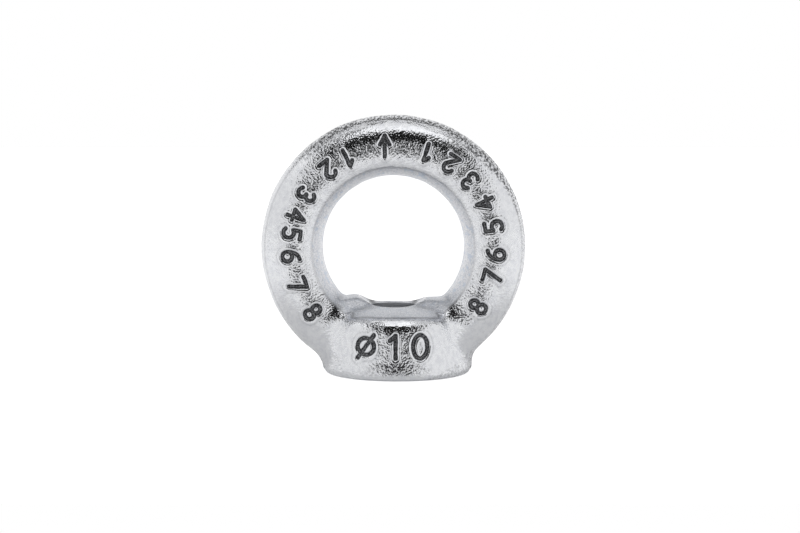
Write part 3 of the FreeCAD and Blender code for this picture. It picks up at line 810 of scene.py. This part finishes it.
# How dark the painted shade is on the thin lines, and on the eye's lip at its sides and at its floor
CONTOUR_SHADE, LIP_SHADES = 0.28, (0.25, 0.55)
LIP_PEAK = 4.0
PATCHES, PATCH_SHARES = (0.38, 0.6), (0.7, 1)

# Painted shade in the grooves of the marks, and on the thin lines round the marks and along the rim
dark = maths(tree, "MAXIMUM", in_groove, maths(tree, "MULTIPLY", contour, CONTOUR_SHADE))
# Painted shade along the lip of the eye, darker where it meets the floor
# The eye's mask times its rest is a quarter on the edge of the eye and 0 away from it
lip = maths(tree, "MULTIPLY", eye, maths(tree, "SUBTRACT", 1.0, eye))
lip = maths(tree, "MULTIPLY", lip, LIP_PEAK)
lip = maths(tree, "MULTIPLY", lip, ramp(tree, floor, OFF_AND_ON, LIP_SHADES))
dark = maths(tree, "MAXIMUM", dark, lip)
dark = maths(tree, "MULTIPLY", dark, ramp(tree, grain["Speck"], PATCHES, PATCH_SHARES))
tree.links.new(mixed(tree, dark, tone, PAINTED_SHADE_COLOUR), shader.inputs["Base Color"])
print("the lip of the eye is shaded by", LIP_SHADES)

# %% Zinc on the forged skin: gloss and relief
METALLIC, EYE_METALLIC = 1, 0.85
SKIN_ROUGHNESS, EYE_ROUGHNESS, GROOVE_ROUGHNESS = 0.16, 0.42, 0.5
GRAIN_DEPTH = 0.05 * MM
COINED_RELIEF, EYE_RELIEF, SCORES_RELIEF = 0.3, 0.7, 4.0

tree.links.new(ramp(tree, eye, OFF_AND_ON, (METALLIC, EYE_METALLIC)), shader.inputs["Metallic"])
rough = ramp(tree, eye, OFF_AND_ON, (SKIN_ROUGHNESS, EYE_ROUGHNESS))
rough = maths(tree, "MAXIMUM", rough, maths(tree, "MULTIPLY", in_groove, GROOVE_ROUGHNESS))
tree.links.new(rough, shader.inputs["Roughness"])
relief = maths(tree, "MULTIPLY", grain["Height"], ramp(tree, coined, OFF_AND_ON, (1, COINED_RELIEF)))
relief = maths(tree, "MULTIPLY", relief, ramp(tree, eye, OFF_AND_ON, (1, EYE_RELIEF)))
scored = maths(tree, "MULTIPLY", scores, maths(tree, "MULTIPLY", scores_and_painted_specks, SCORES_RELIEF))
relief = maths(tree, "ADD", relief, scored)
bump = node(tree, "ShaderNodeBump", {"Height": relief, "Strength": 1.0, "Distance": GRAIN_DEPTH})
tree.links.new(bump.outputs[0], shader.inputs["Normal"])
print("the skin's material has", len(tree.nodes), "nodes")

# %% [markdown]
# ## Zinc on the cut faces
# A drill, a countersink and a facing tool leave fine rings round the axis, which the plating
# doesn't hide. A turned surface could be given anisotropy, but then its shine would need a
# direction at every point. A noise that reads only the distance from the axis and the height
# gives real rings, so both the gloss and the relief follow it.

# %% Material: zinc on the turned faces
RING_DEPTH = 0.012 * MM
RING_SCALE, RING_DETAIL, RING_LEVELS = 5.0, 3.0, (0.3, 0.7)
TURNED_FINE_SHARE, TURNED_GRAIN, TURNED_WEAR, TURNED_ROUGHNESS = 0.7, 0.25, (0.3, 0.7), (0.22, 0.36)

turned, tree, shader = new_material("zinc_machined")
shader.inputs["Metallic"].default_value = METALLIC
place, grain = placed_grain(tree, Fine_share=TURNED_FINE_SHARE)
apart = node(tree, "ShaderNodeSeparateXYZ", {"Vector": place})
squares = [maths(tree, "POWER", apart.outputs[axis], 2.0) for axis in "XY"]
radius = maths(tree, "SQRT", maths(tree, "ADD", *squares))
round_axis = node(tree, "ShaderNodeCombineXYZ", {"X": radius, "Z": apart.outputs["Z"]}).outputs[0]
rings = node(tree, "ShaderNodeTexNoise", {"Vector": round_axis, "Scale": RING_SCALE,
                                          "Detail": RING_DETAIL}).outputs["Fac"]
height = maths(tree, "MULTIPLY_ADD", grain["Height"], TURNED_GRAIN, rings)
tone = mixed(tree, ramp(tree, grain["Wear"], TURNED_WEAR), ZINC, ZINC_SHADE)
tree.links.new(tone, shader.inputs["Base Color"])
tree.links.new(ramp(tree, rings, RING_LEVELS, TURNED_ROUGHNESS), shader.inputs["Roughness"])
bump = node(tree, "ShaderNodeBump", {"Height": height, "Strength": 1.0, "Distance": RING_DEPTH})
tree.links.new(bump.outputs[0], shader.inputs["Normal"])
print("the turned faces' material has", len(tree.nodes), "nodes")

# %% [markdown]
# ## Dress the nut
# The forging rounds every edge, but the thread and the countersinks are cut sharp, so the mesh
# is shaded smooth with only its steep edges kept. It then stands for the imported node.

# %% Put the materials on
SHARP_ANGLE = math.radians(38)

for material in (skin, turned):
    nut.data.materials.append(material)
nut.data.shade_smooth()
nut.data.set_sharp_from_angle(angle=SHARP_ANGLE)
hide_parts(CAD_NODE)
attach(nut, "root")
print("the dressed nut has", len(nut.data.polygons), "faces")
